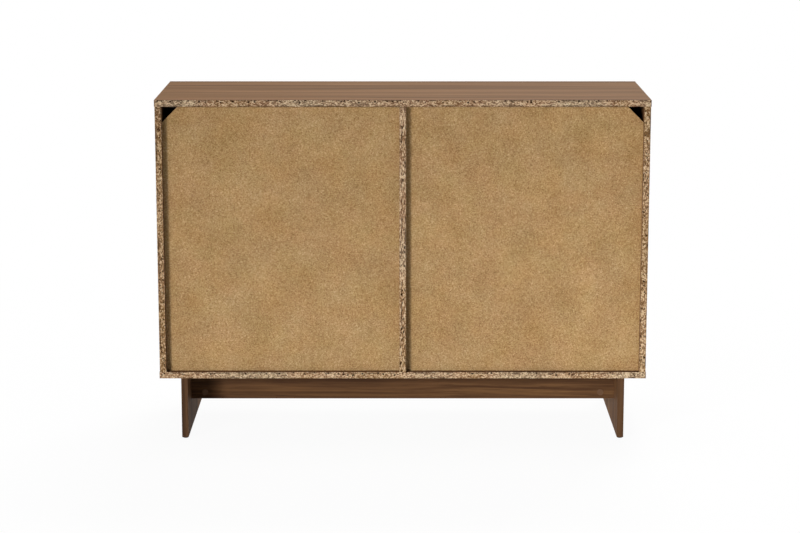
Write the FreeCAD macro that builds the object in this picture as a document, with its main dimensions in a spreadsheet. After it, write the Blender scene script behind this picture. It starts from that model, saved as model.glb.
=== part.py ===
"""Low cabinet with two sliding doors on a panel-leg base, as a parametric FreeCAD document.

The frame has +Z up and its origin on the floor under the middle of the cabinet. The doors face -Y, and
left and right are as seen from the front, so left is -X. All lengths are in millimetres.
"""
import FreeCAD, Part
import math
import os
from types import SimpleNamespace

import Sketcher
from FreeCAD import Placement, Rotation, Vector

# Driving dimensions
SIZES = {
    # Carcass boards
    "overall_width": 1200,
    "overall_depth": 400,
    "carcass_height": 690,
    "board": 16,
    "board_overhang": 1,
    "edge_band": 1,
    "overrun": 5,
    # Back panels
    "back_thickness": 3,
    "back_recess": 16,
    "back_groove_depth": 5,
    "back_face_room": 0.2,
    "back_edge_room": 0.8,
    "cable_notch": 40,
    # Base
    "leg_height": 150,
    "leg_inset": 53,
    "rail_height": 76,
    "rail_setback": 97,
    "rail_cam_height": 16,
    "rail_dowel_drop": 20,
    "leg_screw_offset": 35,
    "leg_dowel_offset": 55,
    "rail_screw_spacing": 600,
    "glide_diameter": 14,
    "glide_height": 3,
    "glide_chamfer": 0.8,
    "glide_inset": 10,
    "glide_nail_diameter": 2.5,
    "glide_nail_length": 14,
    "glide_nail_tip": 3,
    # Doors and their bumpers
    "door_thickness": 16,
    "front_reveal": 4,
    "door_gap": 4,
    "door_overlap": 30,
    "door_bottom_room": 3,
    "door_top_room": 3,
    "bumper_diameter": 10,
    "bumper_thickness": 2.5,
    "bumper_chamfer": 0.8,
    "bumper_gap": 0.3,
    "bumper_inset": 120,
    # Tracks
    "track_width": 8.4,
    "track_wall": 1,
    "lower_track_depth": 5,
    "upper_track_depth": 8,
    # Rollers in the lower edge of a door
    "roller_inset": 70,
    "wheel_diameter": 22,
    "wheel_width": 5,
    "wheel_chamfer": 0.6,
    "wheel_rim": 2.5,
    "wheel_web": 2.6,
    "wheel_hub_diameter": 8,
    "wheel_hub_width": 5.8,
    "wheel_track_gap": 0.3,
    "wheel_room": 1.5,
    "wheel_side_room": 0.4,
    "axle_diameter": 3,
    "axle_fit": 0.05,
    "housing_width": 10,
    "housing_wall": 2.5,
    "housing_roof": 6,
    "flange_reach": 10,
    "flange_thickness": 4,
    "roller_screw_diameter": 3,
    "roller_screw_head_diameter": 5.6,
    "roller_screw_head_height": 1.6,
    "roller_screw_length": 20,
    "roller_screw_tip": 3,
    # Sprung guides in the upper edge of a door
    "guide_inset": 70,
    "guide_pin_diameter": 6,
    "guide_pin_projection": 8.5,
    "guide_pin_chamfer": 1,
    "guide_fit": 0.06,
    "guide_collar": 0.9,
    "guide_collar_length": 3,
    "barrel_wall": 1.5,
    "barrel_lip": 2.5,
    "barrel_floor": 1.5,
    "barrel_flange": 1.4,
    "barrel_flange_thickness": 1.5,
    "spring_length": 24,
    "spring_wire": 0.8,
    "spring_side_room": 0.3,
    "spring_end_room": 0.3,
    # Flush pulls
    "pull_inset": 62,
    "pull_flange_diameter": 46,
    "pull_flange_thickness": 1.2,
    "pull_flange_round": 0.8,
    "pull_cup_diameter": 38,
    "pull_cup_depth": 11,
    "pull_cup_round": 4,
    "pull_wall": 1.2,
    "pull_fit": 0.1,
    # Shelves and their supports
    "shelf_thickness": 16,
    "shelf_setback": 8,
    "shelf_back_room": 2,
    "shelf_side_room": 1.5,
    "support_row_pitch": 32,
    "support_front_distance": 50,
    "support_rear_distance": 50,
    "support_hole_depth": 7.5,
    "support_pin_diameter": 5,
    "support_pin_length": 7,
    "support_collar_diameter": 9,
    "support_collar_thickness": 1.5,
    "support_tongue_diameter": 7,
    "support_tongue_length": 9,
    "support_flat_height": 2,
    # Cam fittings
    "cam_diameter": 15,
    "cam_depth": 12.4,
    "cam_fit": 0.1,
    "cam_distance": 34,
    "cam_cross_length": 8,
    "cam_cross_width": 1.6,
    "cam_cross_depth": 2.5,
    "cam_slot_room": 0.3,
    "cam_bolt_head_diameter": 6,
    "cam_bolt_head_length": 3,
    "cam_bolt_neck_diameter": 3.6,
    "cam_bolt_neck_run": 2,
    "cam_bolt_shank_diameter": 6.8,
    "cam_bolt_thread_diameter": 6,
    "cam_bolt_thread_length": 10.5,
    "cap_diameter": 16,
    "cap_thickness": 1,
    "cap_chamfer": 0.4,
    "side_cam_spacing": 220,
    "divider_cam_spacing": 200,
    # Dowels
    "dowel_diameter": 8,
    "dowel_chamfer": 1,
    "dowel_fit": 0.1,
    "dowel_edge_length": 19,
    "dowel_face_length": 11,
    "dowel_end_room": 0.5,
    "side_dowel_spacing": 290,
    "divider_dowel_spacing": 270,
    # Screws through the bottom panel
    "base_screw_head_diameter": 10,
    "base_screw_head_length": 4,
    "base_screw_socket_diameter": 4,
    "base_screw_socket_depth": 3,
    "base_screw_shank_diameter": 7,
    "base_screw_thread_diameter": 5,
    "base_screw_length": 50,
}
SUPPORT_ROWS = 5
SPRING_TURNS = 8
SPRING_STEPS_PER_TURN = 8
SIGN = {"left": -1, "right": 1}
AXES = {
    "+x": Vector(1, 0, 0),
    "-x": Vector(-1, 0, 0),
    "+y": Vector(0, 1, 0),
    "-y": Vector(0, -1, 0),
    "+z": Vector(0, 0, 1),
    "-z": Vector(0, 0, -1),
}

doc = FreeCAD.newDocument("sliding_door_cabinet")
sheet = doc.addObject("Spreadsheet::Sheet", "dims")
for row, (alias, size) in enumerate(SIZES.items(), start=1):
    sheet.set(f"A{row}", alias)
    sheet.set(f"B{row}", str(size))
    sheet.setAlias(f"B{row}", alias)
doc.recompute()


class Length:
    """A length that is known both as a number and as a formula on the sheet's cells."""

    def __init__(self, formula, value):
        self.formula = formula
        self.value = value

    def __add__(self, other):
        return Length(f"({self.formula} + {other.formula})", self.value + other.value)

    def __sub__(self, other):
        return Length(f"({self.formula} - {other.formula})", self.value - other.value)

    def __mul__(self, factor):
        return Length(f"({self.formula} * {factor})", self.value * factor)

    def __truediv__(self, divisor):
        return Length(f"({self.formula} / {divisor})", self.value / divisor)

    def __neg__(self):
        return Length(f"(-{self.formula})", -self.value)


d = SimpleNamespace(**{alias: Length(f"dims.{alias}", sheet.get(alias)) for alias in SIZES})
ZERO = Length("0", 0)
nodes = {}


# Helpers: boxes, bars and bores
def place(thing, at, turn=None):
    """Bind a thing's position to three lengths, after an optional fixed turn."""
    if turn is not None:
        thing.Placement = Placement(Vector(), turn)
    for axis, length in zip("xyz", at):
        thing.setExpression(f"Placement.Base.{axis}", length.formula)
    return thing


def box(name, x, y, z):
    """A block between the low and high lengths given for each axis."""
    thing = doc.addObject("Part::Box", name)
    for size, (low, high) in zip(("Length", "Width", "Height"), (x, y, z)):
        thing.setExpression(size, (high - low).formula)
    return place(thing, (x[0], y[0], z[0]))


def around(middle, width):
    """The low and high lengths of a stretch of that width about its middle."""
    return middle - width / 2, middle + width / 2


def beside(side, inner, outer):
    """The low and high lengths of a stretch from inner to outer on one side of the middle plane."""
    return (-outer, -inner) if side == "left" else (inner, outer)


def back_to(direction):
    """The opposite of a signed axis."""
    return {"+": "-", "-": "+"}[direction[0]] + direction[1]


def along(at, direction, length):
    """The point that lies a length from another along a signed axis."""
    step = length if direction[0] == "+" else -length
    return tuple(start + step if axis == direction[1] else start for axis, start in zip("xyz", at))


def bar(name, at, direction, diameter, length):
    """A round bar that starts at a point and runs along a signed axis."""
    thing = doc.addObject("Part::Cylinder", name)
    thing.setExpression("Radius", (diameter / 2).formula)
    thing.setExpression("Height", length.formula)
    return place(thing, at, Rotation(AXES["+z"], AXES[direction]))


def bore(name, at, direction, diameter, depth):
    """The cutter of a round hole from a point on a face inwards."""
    start = along(at, back_to(direction), d.overrun)
    return bar(name, start, direction, diameter, depth + d.overrun)


def compound(name, things):
    """Several solids kept apart in one object."""
    group = doc.addObject("Part::Compound", name)
    group.Links = things
    return group


def fused(name, things):
    """Several solids joined into one."""
    union = doc.addObject("Part::MultiFuse", name)
    union.Shapes = things
    return union


def cut(name, base, cutters):
    """A solid with all its cutters taken out of it."""
    result = doc.addObject("Part::Cut", name)
    result.Base = base
    result.Tool = compound(f"{name}_cutters", cutters)
    return result


def node(label, thing):
    """Name a finished sub-part, which is written to a file of that name."""
    thing.Label = label
    nodes[label] = thing
    return thing


def copy(master, at, turn):
    """A copy of a master piece at a point, after a fixed turn."""
    link = doc.addObject("App::Link", f"{master.Name}_copy")
    link.LinkedObject = master
    return place(link, at, turn)


def facing(direction):
    """The turn that brings a master's own +Z onto a signed axis."""
    return Rotation(AXES["+z"], AXES[direction])


# Helpers: sketched bodies
def origin_plane(body, role):
    """One of a body's own origin planes."""
    return next(feature for feature in body.Origin.OriginFeatures if feature.Role == role)


def outline(body, plane_role, points):
    """A closed sketch through points on one of the body's planes, each bound to two lengths."""
    sketch = body.newObject("Sketcher::SketchObject", f"{body.Name}_outline")
    sketch.AttachmentSupport = (origin_plane(body, plane_role), "")
    sketch.MapMode = "FlatFace"
    corners = [Vector(across.value, up.value, 0) for across, up in points]
    last = len(points)
    for index, corner in enumerate(corners):
        sketch.addGeometry(Part.LineSegment(corner, corners[(index + 1) % last]), False)
    for index in range(last):
        sketch.addConstraint(Sketcher.Constraint("Coincident", index, 2, (index + 1) % last, 1))
    for index, point in enumerate(points):
        for kind, length in zip(("DistanceX", "DistanceY"), point):
            number = sketch.addConstraint(Sketcher.Constraint(kind, -1, 1, index, 1, length.value))
            sketch.setExpression(f"Constraints[{number}]", length.formula)
    return sketch


def turned(name, points):
    """A piece turned about its own Z axis from a profile of (radius, height) points."""
    body = doc.addObject("PartDesign::Body", name)
    revolution = body.newObject("PartDesign::Revolution", f"{name}_turn")
    sketch = outline(body, "XZ_Plane", points)
    revolution.Profile = sketch
    revolution.ReferenceAxis = (sketch, ["V_Axis"])
    revolution.Angle = 360
    body.Tip = revolution
    return body


def padded(name, plane_role, points, start, length):
    """A piece of constant outline, padded from a start along its plane's normal."""
    body = doc.addObject("PartDesign::Body", name)
    sketch = outline(body, plane_role, points)
    sketch.setExpression("AttachmentOffset.Base.z", start.formula)
    pad = body.newObject("PartDesign::Pad", f"{name}_pad")
    pad.Profile = sketch
    pad.setExpression("Length", length.formula)
    return body


def dressed(body, kind, size, wanted):
    """Fillet or chamfer the edges of a body that a test picks by their middle."""
    doc.recompute()
    base = body.Tip
    picked = []
    for index, edge in enumerate(base.Shape.Edges, start=1):
        if wanted(edge, edge.BoundBox.Center):
            picked.append(f"Edge{index}")
    feature = body.newObject(f"PartDesign::{kind}", f"{body.Name}_{kind.lower()}")
    feature.Base = (base, picked)
    feature.setExpression("Radius" if kind == "Fillet" else "Size", size.formula)
    body.Tip = feature
    return body


# Reference planes
front = -d.overall_depth / 2
rear = d.overall_depth / 2
underside = d.glide_height + d.leg_height
floor = underside + d.board
top = underside + d.carcass_height
ceiling = top - d.board
half_width = d.overall_width / 2
side_outer = half_width - d.board_overhang
side_inner = side_outer - d.board
side_middle = side_outer - d.board / 2
half_board = d.board / 2
back_rear = rear - d.back_recess
back_front = back_rear - d.back_thickness
leg_outer = half_width - d.leg_inset
leg_inner = leg_outer - d.board
leg_middle = leg_outer - d.board / 2
rail_low = underside - d.rail_height
rail_rear = {"front": -(rear - d.rail_setback) + d.board, "rear": rear - d.rail_setback}
rail_middle = rear - d.rail_setback - half_board
lane = {"left": front + d.front_reveal}
lane["right"] = lane["left"] + d.door_thickness + d.door_gap
lane_middle = {side: lane[side] + d.door_thickness / 2 for side in lane}
divider_front = lane["right"] + d.door_thickness + d.door_gap
divider_middle = (divider_front + rear) / 2
door_low = floor + d.door_bottom_room
door_high = ceiling - d.door_top_room
door_outer = side_inner - d.bumper_thickness - d.bumper_gap
door_inner = d.door_overlap / 2
support_rows = [(floor + ceiling) / 2 + d.support_row_pitch * (row - SUPPORT_ROWS // 2)
                for row in range(SUPPORT_ROWS)]
shelf_low = support_rows[SUPPORT_ROWS // 2] + d.support_flat_height
support_columns = (divider_front + d.support_front_distance, back_front - d.support_rear_distance)

# Master fittings
bolt_neck_end = d.cam_diameter / 2 + d.cam_bolt_neck_run
bolt_end = d.cam_distance + d.cam_bolt_thread_length
cam_bolt = turned("cam_bolt", [
    (ZERO, -d.cam_bolt_head_length / 2),
    (d.cam_bolt_head_diameter / 2, -d.cam_bolt_head_length / 2),
    (d.cam_bolt_head_diameter / 2, d.cam_bolt_head_length / 2),
    (d.cam_bolt_neck_diameter / 2, d.cam_bolt_head_length / 2),
    (d.cam_bolt_neck_diameter / 2, bolt_neck_end),
    (d.cam_bolt_shank_diameter / 2, bolt_neck_end),
    (d.cam_bolt_shank_diameter / 2, d.cam_distance),
    (d.cam_bolt_thread_diameter / 2, d.cam_distance),
    (d.cam_bolt_thread_diameter / 2, bolt_end),
    (ZERO, bolt_end),
])

# The cam's face is at its own origin, and the bolt lies along its own +X at half the board's thickness
head_slot = d.cam_bolt_head_diameter + d.cam_slot_room * 2
neck_slot = d.cam_bolt_neck_diameter + d.cam_slot_room * 2
cam_lock = cut("cam_lock", bar("cam_blank", (ZERO, ZERO, ZERO), "-z", d.cam_diameter, d.cam_depth), [
    box("cam_head_slot", around(ZERO, d.cam_bolt_head_length + d.cam_slot_room * 2),
        around(ZERO, head_slot), around(-half_board, head_slot)),
    box("cam_neck_slot", (ZERO, d.cam_diameter), around(ZERO, neck_slot), around(-half_board, neck_slot)),
    box("cam_cross_long", around(ZERO, d.cam_cross_length), around(ZERO, d.cam_cross_width),
        (-d.cam_cross_depth, d.overrun)),
    box("cam_cross_short", around(ZERO, d.cam_cross_width), around(ZERO, d.cam_cross_length),
        (-d.cam_cross_depth, d.overrun)),
])

cam_cap = turned("cam_cap", [
    (ZERO, ZERO),
    (d.cap_diameter / 2, ZERO),
    (d.cap_diameter / 2, d.cap_thickness - d.cap_chamfer),
    (d.cap_diameter / 2 - d.cap_chamfer, d.cap_thickness),
    (ZERO, d.cap_thickness),
])

dowel_pin = turned("dowel_pin", [
    (ZERO, -d.dowel_edge_length),
    (d.dowel_diameter / 2 - d.dowel_chamfer, -d.dowel_edge_length),
    (d.dowel_diameter / 2, d.dowel_chamfer - d.dowel_edge_length),
    (d.dowel_diameter / 2, d.dowel_face_length - d.dowel_chamfer),
    (d.dowel_diameter / 2 - d.dowel_chamfer, d.dowel_face_length),
    (ZERO, d.dowel_face_length),
])

base_screw = turned("base_screw", [
    (ZERO, -d.base_screw_socket_depth),
    (d.base_screw_socket_diameter / 2, -d.base_screw_socket_depth),
    (d.base_screw_socket_diameter / 2, ZERO),
    (d.base_screw_head_diameter / 2, ZERO),
    (d.base_screw_head_diameter / 2, -d.base_screw_head_length),
    (d.base_screw_shank_diameter / 2, -d.base_screw_head_length),
    (d.base_screw_shank_diameter / 2, -d.board),
    (d.base_screw_thread_diameter / 2, -d.board),
    (d.base_screw_thread_diameter / 2, -d.base_screw_length),
    (ZERO, -d.base_screw_length),
])

glide = turned("glide", [
    (ZERO, ZERO),
    (d.glide_diameter / 2 - d.glide_chamfer, ZERO),
    (d.glide_diameter / 2, d.glide_chamfer),
    (d.glide_diameter / 2, d.glide_height),
    (d.glide_nail_diameter / 2, d.glide_height),
    (d.glide_nail_diameter / 2, d.glide_height + d.glide_nail_length - d.glide_nail_tip),
    (ZERO, d.glide_height + d.glide_nail_length),
])

bumper = turned("bumper", [
    (ZERO, ZERO),
    (d.bumper_diameter / 2, ZERO),
    (d.bumper_diameter / 2, d.bumper_thickness - d.bumper_chamfer),
    (d.bumper_diameter / 2 - d.bumper_chamfer, d.bumper_thickness),
    (ZERO, d.bumper_thickness),
])

# A shelf support sticks out of the wall along its own +Z, and the shelf lies on its flat, on +X
support_end = d.support_collar_thickness + d.support_tongue_length
support_round = turned("support_round", [
    (ZERO, -d.support_pin_length),
    (d.support_pin_diameter / 2, -d.support_pin_length),
    (d.support_pin_diameter / 2, ZERO),
    (d.support_collar_diameter / 2, ZERO),
    (d.support_collar_diameter / 2, d.support_collar_thickness),
    (d.support_tongue_diameter / 2, d.support_collar_thickness),
    (d.support_tongue_diameter / 2, support_end),
    (ZERO, support_end),
])
shelf_support = cut("shelf_support", support_round, [
    box("support_flat", (d.support_flat_height, d.support_collar_diameter),
        around(ZERO, d.support_collar_diameter * 2), (ZERO, support_end + d.overrun)),
])

roller_screw = turned("roller_screw", [
    (ZERO, ZERO),
    (d.roller_screw_head_diameter / 2, ZERO),
    (d.roller_screw_diameter / 2, d.roller_screw_head_height),
    (d.roller_screw_diameter / 2, d.roller_screw_length - d.roller_screw_tip),
    (ZERO, d.roller_screw_length),
])

# Joints between the boards: each adds its fittings, and its holes to both boards
board_cutters = {label: [] for label in (
    "top_panel", "bottom_panel", "left_side_panel", "right_side_panel", "centre_divider",
    "left_leg", "right_leg", "front_rail", "rear_rail")}
cam_locks = []
cam_bolts = []
cam_caps = []
dowels = []
base_screws = []
glides = []
bumpers = []


def cam_joint(held, mate, face_point, face, bolt):
    """A cam in the held board's face pulls a bolt that is screwed into the mate."""
    centre = along(face_point, back_to(face), half_board)
    edge = along(centre, bolt, d.cam_distance)
    fit = d.cam_fit * 2
    board_cutters[held] += [
        bore("cam_hole", face_point, back_to(face), d.cam_diameter + fit, d.cam_depth + d.cam_fit),
        bore("cam_bolt_hole", edge, back_to(bolt), d.cam_bolt_shank_diameter + fit, d.cam_distance),
    ]
    board_cutters[mate].append(
        bore("cam_thread_hole", edge, bolt, d.cam_bolt_thread_diameter, d.cam_bolt_thread_length))
    turn = Rotation(AXES[bolt], Vector(), AXES[face], "ZXY")
    cam_locks.append(copy(cam_lock, face_point, turn))
    cam_bolts.append(copy(cam_bolt, centre, facing(bolt)))


def dowel_joint(edged, faced, point, direction):
    """A dowel runs from one board's edge into another's face."""
    width = d.dowel_diameter + d.dowel_fit * 2
    board_cutters[edged].append(
        bore("dowel_edge_hole", point, back_to(direction), width, d.dowel_edge_length + d.dowel_end_room))
    board_cutters[faced].append(
        bore("dowel_face_hole", point, direction, width, d.dowel_face_length + d.dowel_end_room))
    dowels.append(copy(dowel_pin, point, facing(direction)))


def screw_joint(held, x, y):
    """A screw runs down through the bottom panel into the upper edge of a leg or rail."""
    head = (x, y, floor)
    board_cutters["bottom_panel"] += [
        bore("screw_head_hole", head, "-z", d.base_screw_head_diameter, d.base_screw_head_length),
        bore("screw_shank_hole", head, "-z", d.base_screw_shank_diameter, d.board + d.overrun),
    ]
    board_cutters[held].append(
        bore("screw_thread_hole", (x, y, underside), "-z", d.base_screw_thread_diameter,
             d.base_screw_length - d.board))
    base_screws.append(copy(base_screw, head, Rotation()))


for end, mate, bolt in ((ceiling, "top_panel", "+z"), (floor, "bottom_panel", "-z")):
    cam_height = along((ZERO, ZERO, end), back_to(bolt), d.cam_distance)[2]
    for step in (-1, 1):
        cam_y = d.side_cam_spacing / 2 * step
        dowel_y = d.side_dowel_spacing / 2 * step
        for side, face in (("left", "+x"), ("right", "-x")):
            label = f"{side}_side_panel"
            cam_joint(label, mate, (side_inner * SIGN[side], cam_y, cam_height), face, bolt)
            dowel_joint(label, mate, (side_middle * SIGN[side], dowel_y, end), bolt)
        divider_y = divider_middle + d.divider_cam_spacing / 2 * step
        cam_joint("centre_divider", mate, (-half_board, divider_y, cam_height), "-x", bolt)
        divider_y = divider_middle + d.divider_dowel_spacing / 2 * step
        dowel_joint("centre_divider", mate, (ZERO, divider_y, end), bolt)

for side, outward in (("left", "-x"), ("right", "+x")):
    sign = SIGN[side]
    leg = f"{side}_leg"
    for step in (-1, 0, 1):
        screw_joint(leg, leg_middle * sign, (rail_middle + d.leg_screw_offset) * step)
    for step in (-1, 1):
        dowel_y = (rail_middle + d.leg_dowel_offset) * step
        dowel_joint(leg, "bottom_panel", (leg_middle * sign, dowel_y, underside), "+z")
        glide_y = (rear - d.glide_inset) * step
        glides.append(copy(glide, (leg_middle * sign, glide_y, ZERO), Rotation()))
        board_cutters[leg].append(
            bore("glide_nail_hole", (leg_middle * sign, glide_y, d.glide_height), "+z",
                 d.glide_nail_diameter, d.glide_nail_length))
    for end in ("front", "rear"):
        rail = f"{end}_rail"
        rail_y = rail_rear[end]
        cam_x = (leg_inner - d.cam_distance) * sign
        cam_face = (cam_x, rail_y, rail_low + d.rail_cam_height)
        cam_joint(rail, leg, cam_face, "+y", outward)
        cam_caps.append(copy(cam_cap, cam_face, facing("+y")))
        dowel_z = underside - d.rail_dowel_drop
        dowel_joint(rail, leg, (leg_inner * sign, rail_y - half_board, dowel_z), outward)
        screw_joint(rail, d.rail_screw_spacing / 2 * sign, rail_y - half_board)

# Shelf supports, with spare holes above and below them
supports = []
walls = [("left_side_panel", -side_inner, "+x"), ("centre_divider", -half_board, "-x"),
         ("centre_divider", half_board, "+x"), ("right_side_panel", side_inner, "-x")]
for label, wall, inward in walls:
    for column in support_columns:
        for height in support_rows:
            board_cutters[label].append(
                bore("support_hole", (wall, column, height), back_to(inward), d.support_pin_diameter,
                     d.support_hole_depth))
        seat = (wall, column, support_rows[SUPPORT_ROWS // 2])
        supports.append(copy(shelf_support, seat, Rotation(AXES["+z"], Vector(), AXES[inward], "ZXY")))

# Grooves for the back panels and the tracks
groove_y = (back_front - d.back_face_room, back_rear + d.back_face_room)
groove_reach = side_inner + d.back_groove_depth
track_z = {"lower": (floor - d.lower_track_depth, floor), "upper": (ceiling, ceiling + d.upper_track_depth)}
for label, groove_z, track_level in (
        ("top_panel", (ceiling - d.overrun, ceiling + d.back_groove_depth), "upper"),
        ("bottom_panel", (floor - d.back_groove_depth, floor + d.overrun), "lower")):
    board_cutters[label].append(box("back_groove", (-groove_reach, groove_reach), groove_y, groove_z))
    low, high = track_z[track_level]
    reach = (low - d.overrun, high) if track_level == "upper" else (low, high + d.overrun)
    for side in lane_middle:
        board_cutters[label].append(
            box("track_groove", (-side_inner, side_inner), around(lane_middle[side], d.track_width), reach))
groove_height = (floor - d.overrun, ceiling + d.overrun)
for side in SIGN:
    board_cutters[f"{side}_side_panel"].append(
        box("back_groove", beside(side, side_inner - d.overrun, groove_reach), groove_y, groove_height))
    board_cutters["centre_divider"].append(
        box("back_groove", beside(side, half_board - d.back_groove_depth, half_board + d.overrun),
            groove_y, groove_height))

# Carcass boards and their edge bands, with the rear edges left raw
core_half = half_width - d.edge_band
for label, z in (("top", (ceiling, top)), ("bottom", (underside, floor))):
    core = box(f"{label}_core", (-core_half, core_half), (front + d.edge_band, rear), z)
    node(f"{label}_panel", cut(f"{label}_board", core, board_cutters[f"{label}_panel"]))
    bands = [box(f"{label}_front_band", (-half_width, half_width), (front, front + d.edge_band), z)]
    for side in SIGN:
        bands.append(box(f"{label}_end_band", beside(side, core_half, half_width),
                         (front + d.edge_band, rear), z))
    node(f"{label}_edge_bands", compound(f"{label}_bands", bands))

wall_z = (floor, ceiling)
side_bands = []
for side in SIGN:
    x = beside(side, side_inner, side_outer)
    core = box(f"{side}_core", x, (front + d.edge_band, rear), wall_z)
    node(f"{side}_side_panel", cut(f"{side}_board", core, board_cutters[f"{side}_side_panel"]))
    side_bands.append(box(f"{side}_front_band", x, (front, front + d.edge_band), wall_z))
node("side_edge_bands", compound("side_bands", side_bands))

divider_x = (-half_board, half_board)
divider_core = box("divider_core", divider_x, (divider_front + d.edge_band, rear), wall_z)
node("centre_divider", cut("divider_board", divider_core, board_cutters["centre_divider"]))
node("divider_edge_band", box("divider_band", divider_x, (divider_front, divider_front + d.edge_band), wall_z))

# Back panels, each with its upper outer corner cut off for cables, measured on what the grooves leave in sight
back_grip = d.back_groove_depth - d.back_edge_room
back_inner = half_board - back_grip
back_outer = side_inner + back_grip
back_low = floor - back_grip
back_high = ceiling + back_grip
for side in SIGN:
    low_x, high_x = beside(side, back_inner, back_outer)
    plate = padded(f"{side}_back", "XZ_Plane",
                   [(low_x, back_low), (high_x, back_low), (high_x, back_high), (low_x, back_high)],
                   -back_rear, d.back_thickness)
    outer_x = back_outer.value * SIGN[side]
    corner = Vector(outer_x, (back_front + d.back_thickness / 2).value, back_high.value)
    dressed(plate, "Chamfer", d.cable_notch + back_grip * 2,
            lambda edge, middle: middle.isEqual(corner, d.back_face_room.value))
    node(f"{side}_back_panel", plate)

# Shelves
shelf_front = divider_front + d.shelf_setback
shelf_z = (shelf_low, shelf_low + d.shelf_thickness)
shelf_bands = []
for side in SIGN:
    x = beside(side, half_board + d.shelf_side_room, side_inner - d.shelf_side_room)
    shelf_y = (shelf_front + d.edge_band, back_front - d.shelf_back_room)
    node(f"{side}_shelf", box(f"{side}_shelf_board", x, shelf_y, shelf_z))
    shelf_bands.append(box(f"{side}_shelf_band", x, (shelf_front, shelf_front + d.edge_band), shelf_z))
node("shelf_edge_bands", compound("shelf_bands", shelf_bands))
node("shelf_supports", compound("support_group", supports))

# Tracks: plain channels pressed into the grooves, open towards the doors
half_track = d.track_width / 2
half_channel = half_track - d.track_wall
for side, lane_label in (("left", "front"), ("right", "rear")):
    middle = lane_middle[side]
    for level, (low, high) in track_z.items():
        base, mouth = (low, high) if level == "lower" else (high, low)
        web = base + d.track_wall if level == "lower" else base - d.track_wall
        track = padded(f"{lane_label}_{level}_channel", "YZ_Plane", [
            (middle - half_track, base),
            (middle + half_track, base),
            (middle + half_track, mouth),
            (middle + half_channel, mouth),
            (middle + half_channel, web),
            (middle - half_channel, web),
            (middle - half_channel, mouth),
            (middle - half_track, mouth),
        ], -side_inner, side_inner * 2)
        node(f"{lane_label}_{level}_track", track)

# Bumpers on the side panels, where the doors' edges meet them
for side, inward in (("left", "+x"), ("right", "-x")):
    for middle in lane_middle.values():
        for height in (door_low + d.bumper_inset, door_high - d.bumper_inset):
            bumpers.append(copy(bumper, (side_inner * SIGN[side], middle, height), facing(inward)))
node("door_bumpers", compound("bumper_group", bumpers))

# Base: legs and rails
leg_z = (d.glide_height, underside)
leg_bands = []
for side in SIGN:
    x = beside(side, leg_inner, leg_outer)
    core = box(f"{side}_leg_core", x, (front + d.edge_band, rear - d.edge_band), leg_z)
    node(f"{side}_leg", cut(f"{side}_leg_board", core, board_cutters[f"{side}_leg"]))
    leg_bands.append(box(f"{side}_leg_front_band", x, (front, front + d.edge_band), leg_z))
    leg_bands.append(box(f"{side}_leg_rear_band", x, (rear - d.edge_band, rear), leg_z))
node("leg_edge_bands", compound("leg_bands", leg_bands))

rail_x = (-leg_inner, leg_inner)
rail_bands = []
for end, rail_face in rail_rear.items():
    y = (rail_face - d.board, rail_face)
    core = box(f"{end}_rail_core", rail_x, y, (rail_low + d.edge_band, underside))
    node(f"{end}_rail", cut(f"{end}_rail_board", core, board_cutters[f"{end}_rail"]))
    rail_bands.append(box(f"{end}_rail_band", rail_x, y, (rail_low, rail_low + d.edge_band)))
node("rail_edge_bands", compound("rail_bands", rail_bands))

node("cam_locks", compound("cam_lock_group", cam_locks))
node("cam_bolts", compound("cam_bolt_group", cam_bolts))
node("cam_cover_caps", compound("cam_cap_group", cam_caps))
node("dowels", compound("dowel_group", dowels))
node("base_screws", compound("base_screw_group", base_screws))
node("leg_glides", compound("glide_group", glides))

# Rollers: master housing with its lower face at its own origin, which is the door's lower edge
wheel_axis = floor - d.lower_track_depth + d.track_wall + d.wheel_track_gap + d.wheel_diameter / 2
axle_rise = wheel_axis - door_low
wheel_slot_length = d.wheel_diameter + d.wheel_room * 2
wheel_slot_width = d.wheel_hub_width + d.wheel_side_room * 2
slot_high = axle_rise + d.wheel_diameter / 2 + d.wheel_room
housing_length = wheel_slot_length + d.housing_wall * 2
housing_high = slot_high + d.housing_roof
flange_length = housing_length + d.flange_reach * 2
screw_offset = (housing_length + d.flange_reach) / 2


def housing_blocks(name, low):
    """The tall block and the low flange of a roller housing, from a height up."""
    width = around(ZERO, d.housing_width)
    return [box(f"{name}_block", around(ZERO, housing_length), width, (low, housing_high)),
            box(f"{name}_flange", around(ZERO, flange_length), width, (low, d.flange_thickness))]


axle_start = (ZERO, -d.housing_width / 2, axle_rise)
housing_cutters = [
    box("wheel_slot", around(ZERO, wheel_slot_length), around(ZERO, wheel_slot_width),
        (-d.overrun, slot_high)),
    bar("axle_hole", axle_start, "+y", d.axle_diameter, d.housing_width),
]
for step in (-1, 1):
    housing_cutters.append(copy(roller_screw, (screw_offset * step, ZERO, ZERO), Rotation()))
roller_housing = cut("roller_housing", fused("housing_body", housing_blocks("housing", ZERO)), housing_cutters)
roller_mortise = fused("roller_mortise", housing_blocks("mortise", -d.overrun))

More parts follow.
